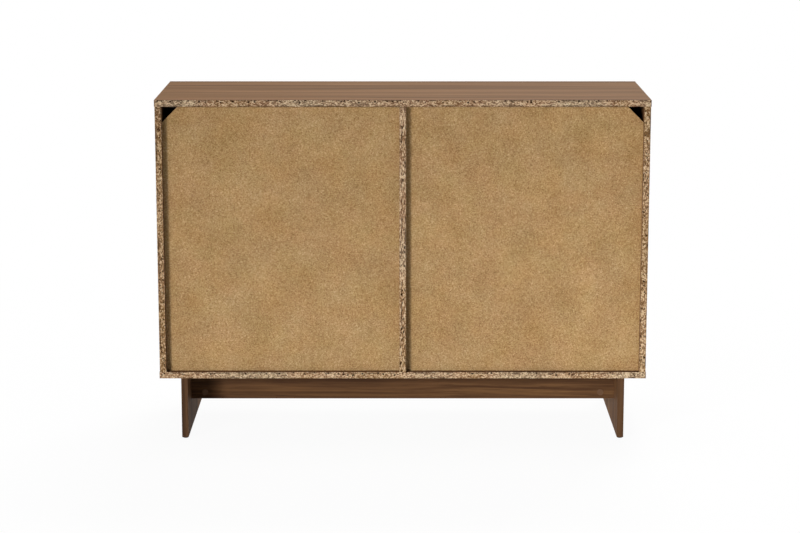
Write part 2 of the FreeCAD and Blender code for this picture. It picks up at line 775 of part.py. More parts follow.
# Guides: the barrel's flange is flush with the door's upper edge, at the master's own origin
pin_hole = d.guide_pin_diameter / 2 + d.guide_fit
collar_radius = d.guide_pin_diameter / 2 + d.guide_collar
barrel_bore = collar_radius + d.guide_fit
barrel_radius = barrel_bore + d.barrel_wall
flange_radius = barrel_radius + d.barrel_flange
collar_high = -d.barrel_lip - d.guide_fit
collar_low = collar_high - d.guide_collar_length
barrel_seat = collar_low - d.spring_length
barrel_low = barrel_seat - d.barrel_floor
guide_barrel = turned("guide_barrel", [
    (pin_hole, ZERO),
    (flange_radius, ZERO),
    (flange_radius, -d.barrel_flange_thickness),
    (barrel_radius, -d.barrel_flange_thickness),
    (barrel_radius, barrel_low),
    (ZERO, barrel_low),
    (ZERO, barrel_seat),
    (barrel_bore, barrel_seat),
    (barrel_bore, -d.barrel_lip),
    (pin_hole, -d.barrel_lip),
])
guide_pin_points = [
    (ZERO, collar_low),
    (collar_radius, collar_low),
    (collar_radius, collar_high),
    (d.guide_pin_diameter / 2, collar_high),
    (d.guide_pin_diameter / 2, d.guide_pin_projection - d.guide_pin_chamfer),
    (d.guide_pin_diameter / 2 - d.guide_pin_chamfer, d.guide_pin_projection),
    (ZERO, d.guide_pin_projection),
]


def coil_spring():
    """A wire coil about Z, as quarter-turn arcs through points of a helix that stands on its seat."""
    radius = (barrel_bore - d.spring_side_room - d.spring_wire / 2).value
    low = (d.spring_wire / 2).value
    rise = (d.spring_length - d.spring_wire - d.spring_end_room).value

    def point(share):
        angle = math.tau * SPRING_TURNS * share
        return Vector(radius * math.cos(angle), radius * math.sin(angle), low + rise * share)

    steps = SPRING_TURNS * SPRING_STEPS_PER_TURN
    points = [point(step / steps) for step in range(steps + 1)]
    arcs = [Part.Arc(*points[step:step + 3]).toShape() for step in range(0, steps, 2)]
    path = Part.Wire(arcs)
    ring = Part.Wire(Part.makeCircle(low, points[0], arcs[0].tangentAt(arcs[0].FirstParameter)))
    return path.makePipeShell([ring], True, False), path.Length


# Doors: left runs in the front lane, right in the rear lane, and they overlap in the middle
spring_shape, spring_path = coil_spring()
door_z = (door_low, door_high)
wheel_points = [
    (d.axle_diameter / 2 + d.axle_fit, -d.wheel_hub_width / 2),
    (d.wheel_hub_diameter / 2, -d.wheel_hub_width / 2),
    (d.wheel_hub_diameter / 2, -d.wheel_web / 2),
    (d.wheel_diameter / 2 - d.wheel_rim, -d.wheel_web / 2),
    (d.wheel_diameter / 2 - d.wheel_rim, -d.wheel_width / 2),
    (d.wheel_diameter / 2 - d.wheel_chamfer, -d.wheel_width / 2),
    (d.wheel_diameter / 2, d.wheel_chamfer - d.wheel_width / 2),
]
wheel_points += [(radius, -height) for radius, height in reversed(wheel_points)]
cup_outer = d.pull_cup_diameter / 2
cup_inner = cup_outer - d.pull_wall
pull_points = [
    (ZERO, -d.pull_cup_depth),
    (cup_outer, -d.pull_cup_depth),
    (cup_outer, ZERO),
    (d.pull_flange_diameter / 2, ZERO),
    (d.pull_flange_diameter / 2, d.pull_flange_thickness),
    (cup_inner, d.pull_flange_thickness),
    (cup_inner, d.pull_wall - d.pull_cup_depth),
    (ZERO, d.pull_wall - d.pull_cup_depth),
]


def flush_pull(name, at):
    """A round cup with a thin flange, let into a door's face, with its edges eased."""
    body = turned(name, pull_points)
    near = d.pull_fit.value
    rim = d.pull_flange_thickness.value
    well = (d.pull_wall - d.pull_cup_depth).value
    outer = (d.pull_flange_diameter / 2).value

    def is_ring(edge, middle, radius, height):
        ring = isinstance(edge.Curve, Part.Circle) and abs(edge.Curve.Radius - radius) < near
        return ring and abs(middle.z - height) < near

    dressed(body, "Fillet", d.pull_cup_round,
            lambda edge, middle: is_ring(edge, middle, cup_inner.value, well))
    dressed(body, "Fillet", d.pull_flange_round,
            lambda edge, middle: is_ring(edge, middle, outer, rim))
    return place(body, at, facing("-y"))


for side, sign in SIGN.items():
    door = f"{side}_door"
    middle = lane_middle[side]
    y = (lane[side], lane[side] + d.door_thickness)
    ends = {"outer": (door_outer - d.roller_inset) * sign, "inner": (door_inner - d.roller_inset) * -sign}
    guides = {"outer": (door_outer - d.guide_inset) * sign, "inner": (door_inner - d.guide_inset) * -sign}
    left_x, right_x = (-door_outer, door_inner) if side == "left" else (-door_inner, door_outer)
    pull_at = ((door_outer - d.pull_inset) * sign, lane[side], (door_low + door_high) / 2)

    mortises = [copy(roller_mortise, (x, middle, door_low), Rotation()) for x in ends.values()]
    screws = []
    pilots = []
    for x in ends.values():
        for step in (-1, 1):
            at = (x + screw_offset * step, middle, door_low)
            screws.append(copy(roller_screw, at, Rotation()))
            pilots.append(bore("screw_pilot", at, "+z", d.roller_screw_diameter, d.roller_screw_length))
    barrel_holes = []
    for x in guides.values():
        at = (x, middle, door_high)
        barrel_holes.append(bore("barrel_hole", at, "-z", barrel_radius * 2, -barrel_low))
        barrel_holes.append(bore("flange_hole", at, "-z", flange_radius * 2, d.barrel_flange_thickness))

    core = box(f"{door}_core", (left_x + d.edge_band, right_x - d.edge_band), y,
               (door_low + d.edge_band, door_high - d.edge_band))
    cup_hole = bore("cup_hole", pull_at, "+y", d.pull_cup_diameter + d.pull_fit * 2,
                    d.pull_cup_depth + d.pull_fit)
    node(f"{door}_panel", cut(f"{door}_board", core, mortises + pilots + barrel_holes + [cup_hole]))
    lower = box(f"{door}_lower_band", (left_x, right_x), y, (door_low, door_low + d.edge_band))
    upper = box(f"{door}_upper_band", (left_x, right_x), y, (door_high - d.edge_band, door_high))
    upright_z = (door_low + d.edge_band, door_high - d.edge_band)
    node(f"{door}_edge_bands", compound(f"{door}_bands", [
        cut(f"{door}_lower_strip", lower, mortises),
        cut(f"{door}_upper_strip", upper, barrel_holes),
        box(f"{door}_left_band", (left_x, left_x + d.edge_band), y, upright_z),
        box(f"{door}_right_band", (right_x - d.edge_band, right_x), y, upright_z),
    ]))
    node(f"{door}_pull", flush_pull(f"{door}_cup", pull_at))

    housings = [copy(roller_housing, (x, middle, door_low), Rotation()) for x in ends.values()]
    node(f"{door}_roller_housings", compound(f"{door}_housing_group", housings))
    axles = [bar("axle", (x, middle - d.housing_width / 2, wheel_axis), "+y", d.axle_diameter, d.housing_width)
             for x in ends.values()]
    node(f"{door}_roller_axles", compound(f"{door}_axle_group", axles))
    node(f"{door}_roller_screws", compound(f"{door}_screw_group", screws))
    barrels = [copy(guide_barrel, (x, middle, door_high), Rotation()) for x in guides.values()]
    node(f"{door}_guide_barrels", compound(f"{door}_barrel_group", barrels))
    for end in ends:
        wheel = turned(f"{door}_{end}_roller", wheel_points)
        node(f"{door}_{end}_wheel", place(wheel, (ends[end], middle, wheel_axis), facing("+y")))
        pin = turned(f"{door}_{end}_plunger", guide_pin_points)
        node(f"{door}_{end}_guide_pin", place(pin, (guides[end], middle, door_high), Rotation()))
        spring = doc.addObject("Part::Feature", f"{door}_{end}_coil")
        spring.Shape = spring_shape
        node(f"{door}_{end}_guide_spring", place(spring, (guides[end], middle, door_high + barrel_seat)))

# Check the document, then write each sub-part
doc.recompute()
for thing in doc.Objects:
    if "Invalid" in thing.State or "Error" in thing.State:
        raise RuntimeError(f"{thing.Label} failed: {thing.State}")
for label, thing in nodes.items():
    if thing.Shape.isNull() or not thing.Shape.isValid() or not thing.Shape.Solids:
        raise RuntimeError(f"{label} has no valid solid")

wire_area = math.pi * (d.spring_wire / 2).value ** 2
spring_pitch = (d.spring_length - d.spring_wire - d.spring_end_room).value / SPRING_TURNS
print(f"spring volume over wire section times length: {spring_shape.Volume / (wire_area * spring_path):.4f}")
print(f"gap between the spring's turns: {spring_pitch - d.spring_wire.value:.2f}")
print(f"door travel: {(door_outer - door_inner).value:.2f}")
print(f"wheel axis height: {wheel_axis.value:.2f}, guide pin top: {(door_high + d.guide_pin_projection).value:.2f}")

os.makedirs("parts", exist_ok=True)
for label, thing in nodes.items():
    thing.Shape.exportStep(f"parts/{label}.step")
print(f"{len(nodes)} sub-parts written")
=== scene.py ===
# %% [markdown]
# # A sliding door cabinet, seen from behind
#
# The cabinet is a low sideboard of foil-covered particle board with a bare hardboard back.
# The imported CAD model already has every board, track, wheel and spring in its true place, so it is loaded first
# and stays as it is. This lesson dresses it: real finishes for its boards and fittings, and the one thing that
# plain solids lack, which is the rough sawn edge that particle board shows at the rear.

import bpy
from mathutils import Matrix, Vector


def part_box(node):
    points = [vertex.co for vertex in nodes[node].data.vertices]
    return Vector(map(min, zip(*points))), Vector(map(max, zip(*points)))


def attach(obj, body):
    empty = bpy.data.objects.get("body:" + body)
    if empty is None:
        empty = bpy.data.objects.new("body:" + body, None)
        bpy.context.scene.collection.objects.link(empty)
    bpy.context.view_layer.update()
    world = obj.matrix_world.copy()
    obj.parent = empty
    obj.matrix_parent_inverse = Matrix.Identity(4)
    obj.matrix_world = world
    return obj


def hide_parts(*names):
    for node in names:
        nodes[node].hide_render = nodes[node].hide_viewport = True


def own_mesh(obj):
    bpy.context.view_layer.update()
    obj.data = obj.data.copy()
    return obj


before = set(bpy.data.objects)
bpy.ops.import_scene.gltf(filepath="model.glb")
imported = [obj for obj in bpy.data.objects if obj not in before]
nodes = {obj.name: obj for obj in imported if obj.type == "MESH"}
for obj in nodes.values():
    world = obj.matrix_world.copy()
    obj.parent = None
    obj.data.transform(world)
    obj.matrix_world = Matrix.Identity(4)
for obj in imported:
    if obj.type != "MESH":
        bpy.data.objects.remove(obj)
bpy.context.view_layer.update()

# %% [markdown]
# ## Colours and nodes
#
# A colour picked on a screen is an sRGB value, while a shader wants light in linear amounts, so one function
# converts each hex value. Shader nodes could be added by hand in the editor. Here one small function adds a node,
# sets what it is told and links the rest, so that a material reads from top to bottom like a recipe.

# %% One function for colours, one for nodes
import math

import bpy
import numpy as np

MM = 0.001
PER_MM = 1000
MIX_FACTOR, MIX_A, MIX_B, MIX_RESULT = 0, 6, 7, 2
VECTOR_A, VECTOR_B, VECTOR_RESULT = 4, 5, 1


def linear(hex_colour):
    """Linear RGBA of one sRGB hex colour: each channel goes back through the sRGB curve."""
    channels = np.array([int(hex_colour[i:i + 2], 16) for i in (1, 3, 5)]) / 255
    steep = ((channels + 0.055) / 1.055) ** 2.4
    return (*np.where(channels <= 0.04045, channels / 12.92, steep).tolist(), 1.0)


def put(tree, kind, sockets=None, stops=None, **settings):
    """Adds one node. Settings are its properties, stops are a ramp's places with their hex colours, and sockets
    are its inputs by name or number, each a plain value or the output of another node."""
    made = tree.nodes.new("ShaderNode" + kind)
    for name, value in settings.items():
        setattr(made, name, value)
    if stops:
        ramp = made.color_ramp.elements
        while len(ramp) < len(stops):
            ramp.new(1.0)
        for element, (place, hex_colour) in zip(ramp, stops):
            element.position = place
            element.color = linear(hex_colour)
    for name, value in (sockets or {}).items():
        if isinstance(value, bpy.types.NodeSocket):
            tree.links.new(value, made.inputs[name])
        else:
            made.inputs[name].default_value = value
    return made


def start(name):
    """A new material with an empty node tree."""
    material = bpy.data.materials.new(name)
    material.use_nodes = True
    material.node_tree.nodes.clear()
    return material, material.node_tree


def cells(along_mm, across_mm, grain):
    """Scale that makes one noise cell so many millimetres long on the grain's axis and so wide on the others."""
    return tuple(PER_MM / (along_mm if axis == grain else across_mm) for axis in range(3))


print("linear walnut brown:", [round(c, 3) for c in linear("#6f5239")])

# %% [markdown]
# ## Walnut foil
#
# The boards aren't solid walnut. A printed paper foil, soaked in melamine resin, is pressed on particle board.
# It gives the eye long flames where the saw cut through growth rings, thin streaks that wander a little, fine dark
# pores, and a matt skin that goes grey where it is seen at a low angle. An image of veneer could be mapped on each
# board. Noise stretched along the grain is used instead: it runs through the whole cabinet, so no two boards repeat
# and there are no seams. The flames are contour lines of a slow noise, as growth rings are contours of a tree.
# The top carries a calmer print, whose dark and light streaks lie closer together.

# %% Wood grain as stretched noise
X_AXIS, Y_AXIS, Z_AXIS = 0, 1, 2
WALNUT = {"dark": "#402b1e", "mid": "#62452d", "light": "#7c5a39"}
CALM_WALNUT = {"dark": "#4b3219", "mid": "#604326", "light": "#715133"}
TONE_PLACES = {"dark": 0.345, "mid": 0.488, "light": 0.63}
# Length and width of one noise cell, in mm
WALNUT_SIZES = {"flame": (1900, 135), "band": (1900, 46), "streak": (900, 7), "pore": (60, 1.8)}
DRIFT_MM, SWAY_IN_STREAKS = (450, 140), 3
RINGS, LINE_FROM, LINE_SHADE = 16, 0.2, -0.075
PORE_FROM, PORE_FULL, PORE_DENT_MM = 0.56, 0.72, 0.2
ALONG_GRAIN = 0.5
DULLER, SHINIER = 0.04, 0.02
FOIL_ROUGHNESS, FOIL_GLOSS, PRINT_SHIFT = 0.64, 0.035, 4.3


def turned_on_ends(tree, grain, other):
    """Object coordinates, with the grain's axis and the other one exchanged on faces that look along the grain."""
    texture = put(tree, "TexCoord").outputs
    axes = put(tree, "SeparateXYZ", {0: texture["Object"]}).outputs
    facing = put(tree, "SeparateXYZ", {0: texture["Normal"]}).outputs[grain]
    steep = put(tree, "Math", {0: facing}, operation="ABSOLUTE").outputs[0]
    on_end = put(tree, "Math", {0: steep, 1: ALONG_GRAIN}, operation="GREATER_THAN").outputs[0]
    order = {grain: other, other: grain}
    swapped = put(tree, "CombineXYZ", {axis: axes[order.get(axis, axis)] for axis in range(3)})
    turned = put(tree, "Mix", {MIX_FACTOR: on_end, VECTOR_A: texture["Object"], VECTOR_B: swapped.outputs[0]},
                 data_type="VECTOR")
    return turned.outputs[VECTOR_RESULT]


def wood(name, grain, tones, sizes, roughness, gloss, pore_shade, other=None, shift=0.0):
    """The tone is a sum of noises for bands and streaks, stretched along the grain, less thin growth lines where
    the sine of a slow noise peaks. Pores are a third of a millimetre wide, and are drawn wider so that they show.
    With an other axis, the grain turns to it on the ends of the piece. The shift, counted in noise cells, chooses
    the part of the endless print that the boards are cut from."""
    material, tree = start(name)
    place = put(tree, "TexCoord").outputs["Object"] if other is None else turned_on_ends(tree, grain, other)
    drift = put(tree, "Mapping", {"Vector": place, "Scale": cells(*DRIFT_MM, grain)})
    sway = put(tree, "TexNoise", {"Vector": drift.outputs[0], "Scale": 1.0, "Detail": 1.0}).outputs["Color"]
    reach = tuple(0.0 if axis == grain else sizes["streak"][1] * SWAY_IN_STREAKS * MM for axis in range(3))
    swayed = put(tree, "VectorMath", {0: sway, 1: reach, 2: place}, operation="MULTIPLY_ADD").outputs[0]
    noise = {}
    for layer, detail in (("flame", 1.0), ("band", 2.0), ("streak", 3.0), ("pore", 2.0)):
        stretched = put(tree, "Mapping", {
            "Vector": swayed, "Scale": cells(*sizes[layer], grain), "Location": (shift, shift, shift)})
        noise[layer] = put(tree, "TexNoise", {
            "Vector": stretched.outputs[0], "Scale": 1.0, "Detail": detail, "Roughness": 0.55}).outputs[0]
    turns = put(tree, "Math", {0: noise["flame"], 1: RINGS * 2 * math.pi}, operation="MULTIPLY").outputs[0]
    wave = put(tree, "Math", {0: turns}, operation="SINE").outputs[0]
    line = put(tree, "MapRange", {
        "Value": wave, "From Min": LINE_FROM, "From Max": 1.0, "To Max": LINE_SHADE}).outputs[0]
    faded = put(tree, "Math", {0: line, 1: noise["streak"]}, operation="MULTIPLY").outputs[0]
    banded = put(tree, "Math", {0: noise["band"], 1: 0.5, 2: faded}, operation="MULTIPLY_ADD").outputs[0]
    tone = put(tree, "Math", {0: noise["streak"], 1: 0.5, 2: banded}, operation="MULTIPLY_ADD").outputs[0]
    print_colour = put(tree, "ValToRGB", {"Fac": tone}, stops=[
        (at, tones[step]) for step, at in TONE_PLACES.items()])
    pore = put(tree, "MapRange", {
        "Value": noise["pore"], "From Min": PORE_FROM, "From Max": PORE_FULL, "To Max": pore_shade})
    coloured = put(tree, "Mix", {
        MIX_FACTOR: pore.outputs[0], MIX_A: print_colour.outputs[0], MIX_B: linear(tones["dark"])},
        data_type="RGBA")
    satin = put(tree, "MapRange", {
        "Value": noise["streak"], "From Min": 0.3, "From Max": 0.7,
        "To Min": roughness + DULLER, "To Max": roughness - SHINIER})
    dents = put(tree, "Bump", {
        "Height": noise["pore"], "Strength": 0.12, "Distance": PORE_DENT_MM * MM}, invert=True)
    shader = put(tree, "BsdfPrincipled", {
        "Base Color": coloured.outputs[MIX_RESULT], "Roughness": satin.outputs[0],
        "Normal": dents.outputs[0], "IOR": 1.5, "Specular IOR Level": gloss})
    put(tree, "OutputMaterial", {"Surface": shader.outputs[0]})
    return material


walnut_lengthwise = wood("walnut_melamine_foil_lengthwise", X_AXIS, WALNUT, WALNUT_SIZES,
                         FOIL_ROUGHNESS, FOIL_GLOSS, pore_shade=0.55, shift=PRINT_SHIFT)
walnut_upright = wood("walnut_melamine_foil_upright", Z_AXIS, WALNUT, WALNUT_SIZES,
                      FOIL_ROUGHNESS, FOIL_GLOSS, pore_shade=0.55)
walnut_top = wood("walnut_melamine_foil_top", X_AXIS, CALM_WALNUT, WALNUT_SIZES,
                  FOIL_ROUGHNESS, FOIL_GLOSS, pore_shade=0.45, shift=PRINT_SHIFT)
print("foil materials:", walnut_lengthwise.name, walnut_upright.name, walnut_top.name)

# %% [markdown]
# ## Edge bands
#
# The foil stops at the edge of a board, so the front and outer edges carry a strip of PVC, a millimetre thick, with
# much the same print. It is a little glossier than the foil, and its grain runs along the strip. The bands of one
# node run both ways, so the grain looks at the way a face points: on a strip that closes the end of a board, it turns
# by a quarter. Two nodes for the two directions would do the same, but would split one piece in two. The strips on
# the legs come from another roll, which is darker.

# %% Walnut-print PVC bands
BAND_WALNUT = {"dark": "#432c1c", "mid": "#62452d", "light": "#785a3e"}
LEG_WALNUT = {"dark": "#3b2719", "mid": "#573d28", "light": "#6b5037"}
BAND_ROUGHNESS, BAND_GLOSS, BAND_PORES = 0.52, 0.08, 0.4
LEG_PRINT_SHIFT = 11.3
band_lengthwise = wood("walnut_pvc_band_lengthwise", X_AXIS, BAND_WALNUT, WALNUT_SIZES,
                       BAND_ROUGHNESS, BAND_GLOSS, BAND_PORES, other=Y_AXIS)
band_upright = wood("walnut_pvc_band_upright", Z_AXIS, BAND_WALNUT, WALNUT_SIZES,
                    BAND_ROUGHNESS, BAND_GLOSS, BAND_PORES, other=X_AXIS)
band_legs = wood("walnut_pvc_band_legs", Z_AXIS, LEG_WALNUT, WALNUT_SIZES,
                 BAND_ROUGHNESS, BAND_GLOSS, BAND_PORES, shift=LEG_PRINT_SHIFT)
print("band materials:", band_lengthwise.name, band_upright.name, band_legs.name)

# %% [markdown]
# ## Hardboard
#
# The back is hardboard: wet wood fibre pressed hot between a smooth plate and a screen. The smooth side faces
# out. It shows fine fibres in every direction, dark flecks of bark, soft clouds where the pulp lay thicker, and a
# faint pink or yellow cast from place to place. A scan of such a board could be laid on it, but would repeat. Four
# noises of real sizes give the same. The fibres are under a millimetre, and are drawn some four times coarser,
# because finer ones would vanish between the pixels.

# %% Pressed wood fibre
FIBRE_MM, FLECK_MM, CLOUD_MM, CAST_MM = 3.3, 9, 80, 75
FIBRE_SHARE, CLOUD_SHARE = 0.8, 0.2
FLECK_FROM, FLECK_FULL, FLECK_SHADE = 0.66, 0.74, 0.35
PULP = [(0.33, "#866641"), (0.5, "#ab885d"), (0.67, "#cbac82")]
PINK_CAST = [(0.38, "#fbffff"), (0.62, "#fffcfa")]
YELLOW_CAST = [(0.38, "#ffffff"), (0.62, "#fffff6")]
FELT_MM = 0.15


def hardboard():
    """Fibre and cloud noise choose the tone, two channels of a slow colour noise tint it towards pink and towards
    yellow, and the peaks of a fourth noise are dark flecks."""
    material, tree = start("smooth_hardboard")
    place = put(tree, "TexCoord").outputs["Object"]
    fibre = put(tree, "TexNoise", {
        "Vector": place, "Scale": PER_MM / FIBRE_MM, "Detail": 3.0, "Roughness": 0.62,
        "Distortion": 0.9}).outputs[0]
    fleck = put(tree, "TexNoise", {"Vector": place, "Scale": PER_MM / FLECK_MM, "Detail": 2.0}).outputs[0]
    cloud = put(tree, "TexNoise", {
        "Vector": place, "Scale": PER_MM / CLOUD_MM, "Detail": 4.0, "Roughness": 0.62}).outputs[0]
    cast = put(tree, "TexNoise", {
        "Vector": place, "Scale": PER_MM / CAST_MM, "Detail": 4.0, "Roughness": 0.66}).outputs["Color"]
    channels = put(tree, "SeparateColor", {"Color": cast}).outputs
    fibres = put(tree, "Math", {0: fibre, 1: FIBRE_SHARE}, operation="MULTIPLY").outputs[0]
    tone = put(tree, "Math", {0: cloud, 1: CLOUD_SHARE, 2: fibres}, operation="MULTIPLY_ADD").outputs[0]
    warm = put(tree, "ValToRGB", {"Fac": tone}, stops=PULP).outputs[0]
    for channel, stops in (("Green", PINK_CAST), ("Blue", YELLOW_CAST)):
        tint = put(tree, "ValToRGB", {"Fac": channels[channel]}, stops=stops)
        warm = put(tree, "Mix", {MIX_FACTOR: 1.0, MIX_A: warm, MIX_B: tint.outputs[0]},
                   data_type="RGBA", blend_type="MULTIPLY").outputs[MIX_RESULT]
    specks = put(tree, "MapRange", {
        "Value": fleck, "From Min": FLECK_FROM, "From Max": FLECK_FULL, "To Max": FLECK_SHADE})
    specked = put(tree, "Mix", {
        MIX_FACTOR: specks.outputs[0], MIX_A: warm, MIX_B: linear("#7d5f3d")}, data_type="RGBA")
    felt = put(tree, "Bump", {"Height": fibre, "Strength": 0.2, "Distance": FELT_MM * MM})
    shader = put(tree, "BsdfPrincipled", {
        "Base Color": specked.outputs[MIX_RESULT], "Roughness": 0.8, "Normal": felt.outputs[0],
        "IOR": 1.45, "Specular IOR Level": 0.1})
    put(tree, "OutputMaterial", {"Surface": shader.outputs[0]})
    return material


pressed_fibre = hardboard()
print("back material:", pressed_fibre.name)

# %% [markdown]
# ## Plastics
#
# Tracks, wheels, housings, glides and caps are moulded or extruded plastics. Their colour is even, but never
# perfectly so: the melt swirls, the mould is spark-eroded to a fine grain, and handling polishes it in places.
# One recipe with a colour, a grain size and a roughness serves them all.

# %% Moulded and extruded plastics
MELT_MM, MOULD_DENT_MM, HANDLED = 35, 0.05, 0.06


def plastic(name, base, swirl, grain_mm, roughness, ior=1.5, gloss=0.5, clear=0.0):
    """A slow swirl shifts the colour between two hex values, and a mould grain roughens and dents the surface."""
    material, tree = start(name)
    place = put(tree, "TexCoord").outputs["Object"]
    melt = put(tree, "TexNoise", {
        "Vector": place, "Scale": PER_MM / MELT_MM, "Detail": 2.0, "Distortion": 1.2}).outputs[0]
    grain = put(tree, "TexNoise", {"Vector": place, "Scale": PER_MM / grain_mm, "Detail": 2.0}).outputs[0]
    colour = put(tree, "ValToRGB", {"Fac": melt}, stops=[(0.35, base), (0.65, swirl)])
    polish = put(tree, "MapRange", {
        "Value": grain, "From Min": 0.3, "From Max": 0.7,
        "To Min": roughness - HANDLED, "To Max": roughness + HANDLED})
    dents = put(tree, "Bump", {"Height": grain, "Strength": 0.15, "Distance": MOULD_DENT_MM * MM})
    shader = put(tree, "BsdfPrincipled", {
        "Base Color": colour.outputs[0], "Roughness": polish.outputs[0], "Normal": dents.outputs[0],
        "IOR": ior, "Specular IOR Level": gloss, "Transmission Weight": clear})
    put(tree, "OutputMaterial", {"Surface": shader.outputs[0]})
    return material


brown_pvc = plastic("extruded_brown_pvc", "#3a2a20", "#45332a", 1.5, 0.38)
brown_cap = plastic("moulded_brown_polyethylene", "#634833", "#70533b", 1.2, 0.55, ior=1.4, gloss=0.2)
dark_glide = plastic("moulded_dark_polyethylene", "#2a211c", "#352a23", 1.2, 0.5)
white_nylon = plastic("moulded_white_nylon", "#d9d6cb", "#e3e1d8", 1.0, 0.42, ior=1.53)
clear_bumper = plastic("clear_polyurethane", "#d8d8d2", "#e4e4df", 1.0, 0.25, ior=1.49, clear=0.6)
print("plastics:", [m.name for m in (brown_pvc, brown_cap, dark_glide, white_nylon, clear_bumper)])

# %% [markdown]
# ## Metals and beech
#
# Screws and axles are zinc-plated steel, bright with a faint blue to yellow cast. Cam locks are die-cast zinc with
# a dull grey skin. Spring wire is drawn and oiled. The door pulls are steel cups under dark bronze lacquer, so they
# are metal seen through a coat. The dowels are beech, a pale wood with short flecks, for which the walnut recipe
# serves with other sizes.

# %% Plated, cast and lacquered metals
METAL_DENT_MM, WORN = 0.03, 0.08
BEECH = {"dark": "#b48a5c", "mid": "#cda679", "light": "#dcbb92"}
BEECH_SIZES = {"flame": (80, 14), "band": (60, 8), "streak": (14, 1.6), "pore": (6, 0.8)}


def metal(name, base, cast, grain_mm, stretch, roughness, coat=0.0):
    """Noise stretched along Z stands for drawn or turned lines, and unstretched noise for a cast skin."""
    material, tree = start(name)
    place = put(tree, "TexCoord").outputs["Object"]
    lines = put(tree, "Mapping", {"Vector": place, "Scale": cells(grain_mm * stretch, grain_mm, Z_AXIS)})
    grain = put(tree, "TexNoise", {"Vector": lines.outputs[0], "Scale": 1.0, "Detail": 3.0}).outputs[0]
    colour = put(tree, "ValToRGB", {"Fac": grain}, stops=[(0.3, base), (0.7, cast)])
    polish = put(tree, "MapRange", {
        "Value": grain, "From Min": 0.3, "From Max": 0.7, "To Min": roughness - WORN, "To Max": roughness + WORN})
    dents = put(tree, "Bump", {"Height": grain, "Strength": 0.1, "Distance": METAL_DENT_MM * MM})
    shader = put(tree, "BsdfPrincipled", {
        "Base Color": colour.outputs[0], "Metallic": 1.0, "Roughness": polish.outputs[0],
        "Normal": dents.outputs[0], "Coat Weight": coat, "Coat Roughness": 0.2})
    put(tree, "OutputMaterial", {"Surface": shader.outputs[0]})
    return material


zinc_plate = metal("bright_zinc_plated_steel", "#a9aba8", "#c2c1b6", 1.5, 1, 0.3)
spring_wire = metal("oiled_spring_wire", "#6f7072", "#8b8b8a", 1.0, 4, 0.32)
die_cast = metal("die_cast_zinc", "#86878a", "#a1a1a0", 2.0, 1, 0.48)
bronze_cup = metal("bronze_lacquered_steel", "#3a2f27", "#4f4035", 1.5, 1, 0.34, coat=0.35)
beech = wood("raw_beech", X_AXIS, BEECH, BEECH_SIZES, roughness=0.62, gloss=0.3, pore_shade=0.3)
print("metals and beech:", [m.name for m in (zinc_plate, spring_wire, die_cast, bronze_cup, beech)])

# %% [markdown]
# ## Dressing the CAD nodes
#
# A CAD node whose shape is right keeps its mesh and only gets its finish. A table from node to material could list
# all of them one by one. Grouping them by finish shows at a glance which pieces of the real cabinet are made of the
# same stuff, and the doors, which are built twice, are named by a loop.

# %% Which node is made of what
DOORS = ("left_door_", "right_door_")
PER_DOOR = {
    walnut_upright: ["panel"],
    band_upright: ["edge_bands"],
    bronze_cup: ["pull"],
    white_nylon: ["roller_housings", "outer_wheel", "inner_wheel", "guide_barrels",
                  "outer_guide_pin", "inner_guide_pin"],
    zinc_plate: ["roller_axles", "roller_screws"],
    spring_wire: ["outer_guide_spring", "inner_guide_spring"],
}
FINISHES = {
    walnut_top: ["top_panel"],
    walnut_lengthwise: ["bottom_panel", "left_shelf", "right_shelf", "front_rail", "rear_rail"],
    walnut_upright: ["left_side_panel", "right_side_panel", "centre_divider", "left_leg", "right_leg"],
    band_lengthwise: ["top_edge_bands", "bottom_edge_bands", "shelf_edge_bands", "rail_edge_bands"],
    band_upright: ["side_edge_bands", "divider_edge_band"],
    band_legs: ["leg_edge_bands"],
    pressed_fibre: ["left_back_panel", "right_back_panel"],
    brown_pvc: ["front_lower_track", "front_upper_track", "rear_lower_track", "rear_upper_track"],
    brown_cap: ["cam_cover_caps"],
    dark_glide: ["leg_glides"],
    clear_bumper: ["door_bumpers"],
    zinc_plate: ["shelf_supports", "cam_bolts", "base_screws"],
    die_cast: ["cam_locks"],
    beech: ["dowels"],
}
for material, names in PER_DOOR.items():
    FINISHES.setdefault(material, []).extend(door + name for door in DOORS for name in names)

dressed = [name for names in FINISHES.values() for name in names]
for material, names in FINISHES.items():
    for name in names:
        for slot in nodes[name].material_slots:
            slot.material = material
print("dressed:", len(dressed), "left plain:", sorted(set(nodes) - set(dressed)))

# %% [markdown]
# ## Raw particle board edges
#
# At the rear the boards have no band. The saw left a rough face of glued chips: pale and dark flakes lying along
# the board, finer dust near the two foils, small holes where a chip fell out, and broken lines where it tore. Holes
# and tears are drawn dark with painted shade.
# A bump map could fake it, but a real relief catches the light and is kept in the exported shape. The relief is a
# profile across the board's thickness, carried along its length: where the profile stands proud depends on the chip
# that is nearest, which is what mathematicians call a Voronoi pattern.

# %% Chips as a Voronoi pattern
def chips(s, t, length, width, draw):
    """Each cell of length by width holds one seed at a random place. Every point takes the random tone of its
    nearest seed, and its distance from the chip's border is the second nearest distance less the nearest."""
    column, row = np.floor(s / length).astype(int), np.floor(t / width).astype(int)
    seed_s, seed_t, seed_tone = draw.random((3, column.max() + 3, row.max() + 3))
    nearest = np.full(s.shape, np.inf)
    second, tone = nearest.copy(), np.zeros(s.shape)
    for step_s in (0, 1, 2):
        for step_t in (0, 1, 2):
            i, j = column + step_s, row + step_t
            gap = np.hypot(i - 1 + seed_s[i, j] - s / length, j - 1 + seed_t[i, j] - t / width)
            closer = gap < nearest
            second = np.where(closer, nearest, np.minimum(second, gap))
            tone = np.where(closer, seed_tone[i, j], tone)
            nearest = np.minimum(nearest, gap)
    return tone, second - nearest


